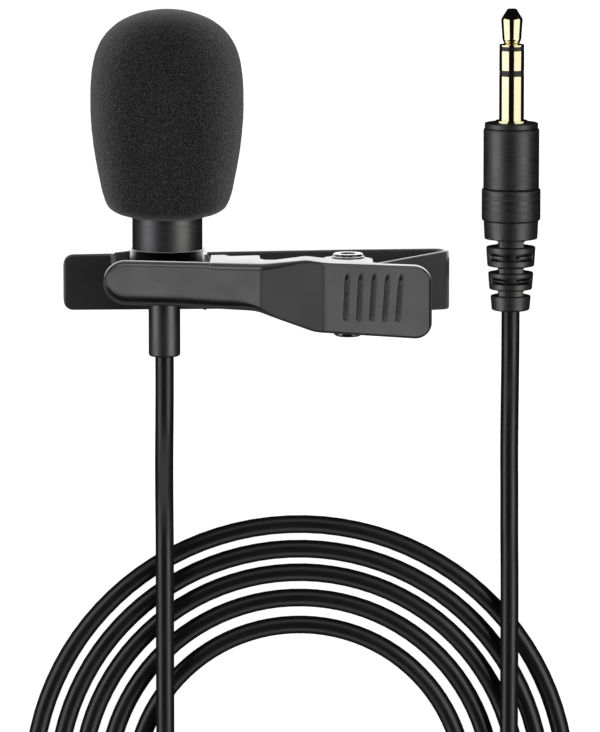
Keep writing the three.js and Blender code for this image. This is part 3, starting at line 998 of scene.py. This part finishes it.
def rivet_place():
    return Vector(((RIVET.x - ORIGIN.x) / MM, (RIVET.z - ORIGIN.z) / MM))


def strip_line():
    """The back strip's middle line: straight, folded over, then straight to the rivet."""
    rivet = rivet_place()
    strip_way = Vector((math.cos(STRIP_SLOPE), math.sin(STRIP_SLOPE)))
    tongue_way = Vector((math.cos(TONGUE_SLOPE), math.sin(TONGUE_SLOPE)))
    gap = STRIP_END - rivet
    across = strip_way.x * gap.y - strip_way.y * gap.x
    reach = across / (strip_way.x * tongue_way.y - strip_way.y * tongue_way.x)
    fold = rivet + tongue_way * reach
    end = rivet + tongue_way * (KNUCKLE_R - 0.3)
    return rounded_line([STRIP_END, fold, end], FOLD_R)


def add_back_strip():
    """The folded strip and the two knuckles at its tongue's end."""
    def extent(s, total):
        """A little wider towards the fold, and down to the knuckles' width at the tongue's end."""
        narrow = max(0.0, (s - total) / TONGUE_TAPER + 1)
        half = STRIP_HALF + STRIP_FLARE * min(1.0, s / 40)
        half += (KNUCKLE_HALF - half) * narrow
        return -half, half

    strip = band("strip", spread(strip_line(), 0.35), STRIP_THICK, extent, "clip_black",
                 "clip_back", edge=0.3, ends=(1.35, 0.0))
    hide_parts("back_strip")
    centre = Vector((RIVET.x, 0, RIVET.z))
    pieces = [strip]
    for name, low in (("knuckle_top", KNUCKLE_LOW), ("knuckle_low", -KNUCKLE_HALF)):
        profile = tube_profile(KNUCKLE_BORE, KNUCKLE_R, low, low + KNUCKLE_HALF - KNUCKLE_LOW)
        pieces.append(turned(name, profile, centre, "clip_black", "clip_back", 64, 0.2))
    return pieces


RING_THICK = 0.55


def add_mic_ring():
    """A band from the lever round the barrel, and the thin collar inside its upper part."""
    reach = BARREL_R + 0.08 + RING_THICK / 2
    line = [(12.3, 5.75), (7.0, 5.5), (6.2, 5.25), (reach + 0.28, 4.6), (reach + 0.06, 3.8),
            (reach, 3.0)]
    for degrees in range(0, 161, 4):
        turn = math.radians(-degrees)
        line.append((reach * math.cos(turn), reach * math.sin(turn)))
    line += [(-5.35, 0.15), (-5.95, 0.75), (-6.7, 1.55), (-7.7, 2.55)]  # its free, flared end

    def extent(s, total):
        """Narrow on the lever, wide round the barrel, with a foot on the near side."""
        grown = smooth_step((s - 6.2) / 0.8)
        foot = smooth_step((s - 8.5) / 1.0) * smooth_step((14.5 - s) / 1.0)
        return -0.8 - 0.6 * grown - 1.6 * foot, 2.7 + 2.4 * grown

    ring = band("ring", spread(line, 0.3), RING_THICK, extent, "clip_black", "clip_front",
                edge=0.18, ends=(0.8, 0.9))
    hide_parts("mic_ring")
    profile = tube_profile(BARREL_R + 0.05, BARREL_R + 0.28, 2.4, 5.4)
    collar = turned("ring_collar", profile, AXIS, "clip_black", "clip_front", 96, 0.12)
    return [ring, collar]


def add_rivet():
    """A hollow eyelet: a dome below, a rolled rim above, and a washer under the rim."""
    centre = Vector((RIVET.x, 0, RIVET.z))
    top, low = 4.66, -5.3
    shank, head = 1.0, 2.1
    dome = [(0, low - 1.0), (head - 0.5, low - 0.95), (head - 0.1, low - 0.7), (head, low),
            (shank, low)]
    rim = [(shank, top + 0.3), (head - 0.1, top + 0.3), (head, top + 0.45),
           (head - 0.1, top + 0.68), (shank + 0.2, top + 0.68), (shank + 0.05, top + 0.35),
           (shank, top + 0.05), (0, top - 0.05)]
    rivet = turned("rivet", dome + rim, centre, "clip_black", "clip_front", 72, 0.09)
    rivet.data.materials[0] = RIVET_LOOK
    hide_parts("pivot_rivet")
    washer = turned("washer", tube_profile(1.1, 2.3, top + 0.02, top + 0.28), centre,
                    "clip_black", "clip_front", 72, 0.1)
    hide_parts("rivet_washer")
    return [rivet, washer]


def add_spring():
    """The coil and its front leg ride on the lever; its rear leg rides on the strip."""
    rivet = rivet_place()
    wire, coil_r, turns, height = 0.28, 1.62, 5, 3.1
    steps = 24
    coil = [at(rivet.x + 6.6, height / 2, rivet.y + coil_r + 2.3),
            at(rivet.x + 3.2, height / 2, rivet.y + coil_r + 1.0)]
    for k in range(turns * steps + 1):
        turn = math.pi / 2 + 2 * math.pi * k / steps
        y = height / 2 - height * k / (turns * steps)
        coil.append(at(rivet.x + coil_r * math.cos(turn), y, rivet.y + coil_r * math.sin(turn)))
    way = Vector((math.cos(TONGUE_SLOPE), math.sin(TONGUE_SLOPE)))
    side = Vector((-way.y, way.x)) * (STRIP_THICK / 2 + wire)
    leg = []
    for reach in (0.4, 1.6, 3.4, 5.2, 7.0):
        lift = side * min(1.0, reach / 3.4) + side.normalized() * max(0.0, 1.2 - reach)
        place = rivet + way * reach + lift
        leg.append(at(place.x, -height / 2, place.y))
    coil_wire = make_wire("spring_coil", smooth_line(coil, 3), wire, 4, "steel", "clip_front")
    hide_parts("torsion_spring")
    make_wire("spring_leg", smooth_line(leg, 3), wire, 4, "steel", "clip_back")


# ---------------------------------------------------------------- plug

SLEEVE_R = 1.75
INSULATOR_R = 1.73


def add_contacts():
    """The contacts from the tip down, with two black insulators between them."""
    gold = "gold_contact"
    black = "plastic_black"
    tip = [(0, 33.2), (1.0, 33.2), (1.0, 33.5), (1.12, 33.62), (1.32, 34.1), (1.52, 36.95),
           (0.66, 38.35), (0.55, 38.4), (0, 38.4)]
    shoulder = [(0, 33.1), (SLEEVE_R, 33.1), (SLEEVE_R, 33.38), (1.1, 33.5), (0, 33.5)]
    parts = [
        ("tip_contact", "plug_tip", gold, tip, 0.12),
        ("tip_shoulder", None, gold, shoulder, 0.05),
        ("insulator_tip", "tip_insulator", black, disc_profile(INSULATOR_R, 32.57, 33.08), 0.03),
        ("ring_contact", "plug_ring", gold, disc_profile(SLEEVE_R, 29.75, 32.55), 0.05),
        ("insulator_ring", "ring_insulator", black, disc_profile(INSULATOR_R, 29.0, 29.73), 0.03),
        ("sleeve_contact", "plug_sleeve", gold, disc_profile(SLEEVE_R, 19.3, 28.98), 0.05),
    ]
    pieces = []
    for name, node, slot, profile, soft in parts:
        piece = turned(name, profile, PLUG, slot, "microphone", 96, soft)
        if node:
            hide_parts(node)
        pieces.append(piece)
    return pieces


SHELL_R = 3.92
SHELL_LOW, SHELL_HIGH = 13.18, 21.6
FRONT_R = 3.75
FRONT_HIGH = 22.4


def add_shell():
    """The gold flange, the shell's front ring, the shell and the grip collar."""
    flange = turned("flange", disc_profile(2.26, FRONT_HIGH + 0.02, FRONT_HIGH + 0.32), PLUG,
                    "gold_contact", "microphone", 96, 0.06)
    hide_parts("plug_flange")
    profile = [(0, SHELL_HIGH), (FRONT_R - 0.03, SHELL_HIGH), (FRONT_R, SHELL_HIGH + 0.15),
               (FRONT_R, FRONT_HIGH - 0.1), (FRONT_R - 0.1, FRONT_HIGH - 0.02), (0, FRONT_HIGH)]
    front = turned("front_ring", profile, PLUG, "shell_black", "microphone", 128, 0.12)
    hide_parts("shell_front_ring")
    profile = [(0, SHELL_LOW), (SHELL_R, SHELL_LOW), (SHELL_R, SHELL_HIGH - 0.2),
               (SHELL_R - 0.12, SHELL_HIGH), (0, SHELL_HIGH)]
    shell = turned("shell", profile, PLUG, "shell_black", "microphone", 128, 0.12)
    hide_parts("plug_shell")
    return [flange, front, shell, add_collar()]


def add_collar():
    """The grip collar with its fine turned lines."""
    low, high, full = 8.6, SHELL_LOW - 0.05, 4.14
    profile = [(0, low), (full - 0.18, low), (full - 0.03, low + 0.16)]
    lines = 11
    for k in range(lines):
        y = low + 0.45 + (high - low - 0.9) * k / (lines - 1)
        depth = 0.025 + 0.02 * noise.noise(Vector((k * 1.7, 0.3, 0.9)))
        profile += [(full, y - 0.07), (full - depth, y), (full, y + 0.07)]
    profile += [(full - 0.03, high - 0.16), (full - 0.18, high), (0, high)]
    collar = turned("collar", profile, PLUG, "shell_black", "microphone", 128, 0.05)
    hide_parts("grip_collar")
    return collar


# The boot's discs as (low, high, radius at the low end, radius at the high end), and its slots.
BOOT_DISCS = [(-4.14, -1.99, 2.66, 2.85), (-1.22, 1.32, 3.0, 3.2), (2.06, 4.96, 3.3, 3.48),
              (5.92, 8.65, 3.72, 3.86)]
BOOT_SLOTS = [(-0.25, 0.62), (3.05, 4.05)]
BOOT_CORE = 1.72
SLOT_FLOOR = 2.25  # how deep a slot is between its two tabs
SLOT_HALF = 1.2  # half of the gap between the two tabs
SLIT = 0.3  # height of the slit above and below the tab inside each slot
SLIT_DEPTH = 0.8
TAB_SINK = 0.15  # how far a tab lies below the disc's skin


def boot_radius(r, y, turn):
    """Side notches leave a slab across the plug; front and back slots leave one the other way."""
    def inside(low, high, edge=0.1):
        return smooth_step((y - low) / edge + 0.5) * smooth_step((high - y) / edge + 0.5)

    side = abs(math.cos(turn))
    front = abs(math.sin(turn))
    for (_, low, _, _), (high, _, _, _) in zip(BOOT_DISCS, BOOT_DISCS[1:]):
        cut = min(r, BOOT_CORE / max(side, 0.05))
        r += (cut - r) * inside(low, high)
    gap = smooth_step((SLOT_HALF - r * side) / 0.15)
    reach = smooth_step((front - 0.42) / 0.1)
    for low, high in BOOT_SLOTS:
        window = inside(low, high)
        slit = window * (1 - inside(low + SLIT, high - SLIT))
        tabs = reach * (TAB_SINK * window + SLIT_DEPTH * slit)
        r -= max(gap * (r - SLOT_FLOOR) * window, tabs)
    return r


def add_boot():
    """The segmented strain relief: its discs, and rows between them that the notches cut in."""
    steps, rows = 28, 10
    notch, edge = 0.75, 0.28
    profile = []
    for low, high, r_low, r_high in BOOT_DISCS:
        for k in range(steps + 1):
            y = low + (high - low) * k / steps
            inset = round_in(y - low, edge) + round_in(high - y, edge)
            profile.append((r_low + (r_high - r_low) * k / steps - inset, y))
        if high < BOOT_DISCS[-1][1]:
            profile += [(r_high - 0.1, high + notch * k / rows) for k in range(1, rows)]
    profile.sort(key=lambda point: point[1])
    profile = [(0, profile[0][1]), *profile, (0, profile[-1][1])]
    boot = turned("boot", profile, PLUG, "rubber_black", "microphone", 180, 0, boot_radius)
    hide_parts("plug_strain_relief")
    return boot


# ---------------------------------------------------------------- pieces kept from the frame

def finish_kept_nodes():
    """Inner pieces keep their shape and get the record's finish."""
    slots = {part["node"]: part["material_slot"] for part in frame["record"]["subparts"]}
    for name, node in frame["nodes"].items():
        node.data.materials.clear()
        material = mesh_material() if name == "grille_mesh" else MATERIALS[slots[name]]
        node.data.materials.append(material)
        node.visible_glossy = False


# ---------------------------------------------------------------- everything

add_camera()
finish_kept_nodes()
contacts = add_contacts()
shell_pieces = add_shell()
boot = add_boot()
relief = add_barrel()
cord = add_cord()
foam = add_foam()
add_grille()
lever = add_lever()
ring, collar = add_mic_ring()
clip_pieces = [lever, ring, collar, *add_back_strip(), *add_rivet()]
for piece in clip_pieces:
    piece.visible_glossy = False
add_spring()
flange, *shell_rings = shell_pieces
add_studio([*contacts, flange], [*shell_rings, boot], cord, lever, clip_pieces, collar, foam)
add_floor(foam)
